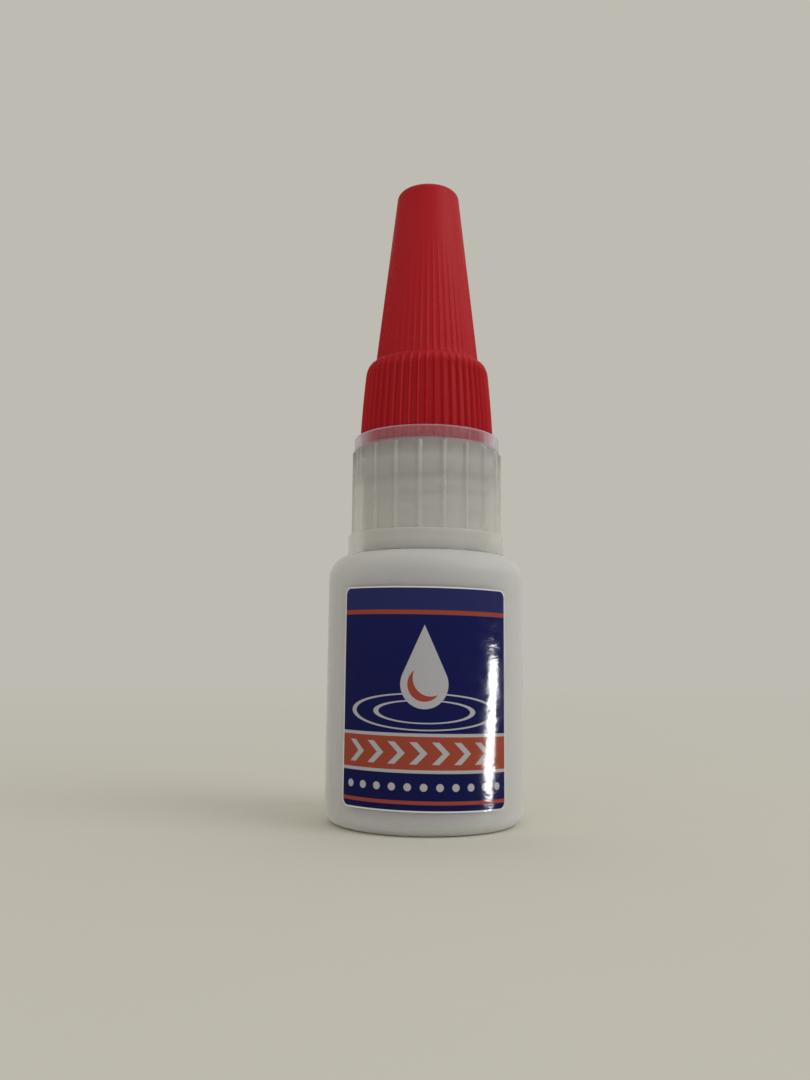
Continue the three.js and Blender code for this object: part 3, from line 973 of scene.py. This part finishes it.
def printed_film():
    paint = Print("printed_film", {"IOR": 1.45})
    # Painted reflection: the blue field grows lighter towards the label's top
    picture = paint.blend(paint.ramp(paint.level, LABEL_FOOT, LABEL_TOP, 0, 1), BLUE, BLUE_SHEEN)
    layers = [(paint.band(paint.level, low, high), ink) for low, high, ink in BANDS]
    layers += [(paint.chevrons(), WHITE), (paint.dots(), WHITE)]
    layers += [(paint.ripple(wide, tall), WHITE) for wide, tall in RIPPLES]
    layers += [(paint.drop(), WHITE), (paint.shine(), ORANGE), (paint.margin(), FILM_CORE)]
    for mask, ink in layers:
        picture = paint.blend(mask, picture, ink)
    paint.colour(picture)
    paint.roughness(paint.grain(size=1.5), low=0.1, high=0.17)
    paint.bump(paint.grain(size=1.5, stretch=(1.5, 1.5, 0.7), detail=4.0), depth=0.06)
    return paint.material


def make_floor():
    """A pale disc that fades into the background with distance, and is clear from below."""
    paint = Paint("pale_floor", {"Roughness": 1.0, "Specular IOR Level": 0.0})
    cloud = paint.grain(size=60)
    lit, seen = (paint.blend(cloud, *pair) for pair in (FLOOR_LIT, FLOOR_SEEN))
    paint.colour(paint.lit_or_seen(lit, seen))
    haze = paint.node("ShaderNodeEmission", {"Color": paint.lit_or_seen(SKY, BACKDROP)})
    near = paint.math("DIVIDE", FLOOR_FADE, paint.math("ADD", paint.far(), FLOOR_FADE))
    share = paint.ramp(near, *FLOOR_FADE_RANGE, 1, 0)
    mixed = paint.node("ShaderNodeMixShader", {0: share, 1: paint.shader.outputs[0], 2: haze})
    under = paint.node("ShaderNodeNewGeometry", output="Backfacing")
    clear = paint.node("ShaderNodeBsdfTransparent")
    sided = paint.node("ShaderNodeMixShader", {0: under, 1: mixed, 2: clear})
    paint.put(sided, paint.tree.nodes["Material Output"].inputs["Surface"])
    rim = round_axis(FLOOR_RADIUS, even(FLOOR_FACETS), -FLOOR_DROP)
    floor = add_object("floor", rim, [list(range(FLOOR_FACETS))], paint.material)
    floor.visible_glossy = False


def make_world():
    world = bpy.data.worlds.new("studio")
    world.use_nodes = True
    nodes = Nodes(world.node_tree)
    nodes.put(nodes.lit_or_seen(SKY, BACKDROP), nodes.tree.nodes["Background"].inputs["Color"])
    bpy.context.scene.world = world


def make_card(name, start, end, top):
    """A dark card bent round the object, which shows in reflections alone."""
    paint = Paint(name, {"Roughness": 1.0, "Specular IOR Level": 0.0})
    paint.colour(paint.blend(paint.grain(size=40), *CARD_GREY))
    angles = np.radians(np.linspace(start, end, CARD_COLUMNS))
    edges = np.concatenate([round_axis(CARD_RADIUS, angles, level) for level in (CARD_FOOT, top)])
    faces = [(k, k + 1, CARD_COLUMNS + k + 1, CARD_COLUMNS + k) for k in range(CARD_COLUMNS - 1)]
    card = add_object(name, edges, faces, paint.material)
    card.visible_camera = False
    card.visible_diffuse = False
    card.visible_transmission = False
    card.visible_shadow = False


def make_lamp(name, place, aim, size, watts, lean=0):
    lamp = bpy.data.lights.new(name, "AREA")
    lamp.shape = "RECTANGLE"
    lamp.size, lamp.size_y = (side * MM for side in size)
    lamp.energy = watts
    holder = bpy.data.objects.new(name, lamp)
    holder.location = Vector(place) * MM
    facing = (Vector(aim) - Vector(place)).to_track_quat("-Z", "Y")
    holder.rotation_euler = (facing @ Quaternion((0, 0, 1), math.radians(lean))).to_euler()
    holder.visible_camera = False
    bpy.context.scene.collection.objects.link(holder)
    return holder


def make_camera():
    data = bpy.data.cameras.new("camera")
    data.lens = data.sensor_width * FOCAL_LENGTH / FRAME_HEIGHT
    data.clip_start = CAMERA_NEAR * MM
    camera = bpy.data.objects.new("camera", data)
    turn = Matrix.Rotation(math.radians(CAMERA_TURN), 4, "Z")
    rise = Matrix.Rotation(math.radians(90 + CAMERA_RISE), 4, "X")
    roll = Matrix.Rotation(math.radians(CAMERA_ROLL), 4, "Z")
    camera.matrix_world = Matrix.Translation(Vector(CAMERA_PLACE) * MM) @ turn @ rise @ roll
    bpy.context.scene.collection.objects.link(camera)
    bpy.context.scene.camera = camera


add_piece("bottle_shell", make_bottle(), "bottle", milky_plastic(), "bottle_plastic", "bottle")
add_piece("adhesive_fill", make_adhesive(), "bottle", clear_liquid(), "adhesive", "adhesive")
add_piece("label_film", make_label(), "bottle", printed_film(), "label_film", "label")
add_piece("nozzle_moulding", make_nozzle(), "bottle", natural_plastic(), "nozzle_plastic", "nozzle")
add_piece("cap_moulding", make_cap(), "cap", red_plastic(), "cap_plastic", "cap")
add_piece("pin_wire", make_pin(), "pin", drawn_steel(), "pin_steel", "cap_pin")

make_floor()
make_world()
for card_name, card_shape in CARDS.items():
    make_card(card_name, *card_shape)
make_lamp("window", **WINDOW)
strip = make_lamp("strip", **STRIP)
strip.visible_diffuse = False
strip.visible_transmission = False
make_camera()
bpy.context.scene.view_settings.view_transform = "Standard"
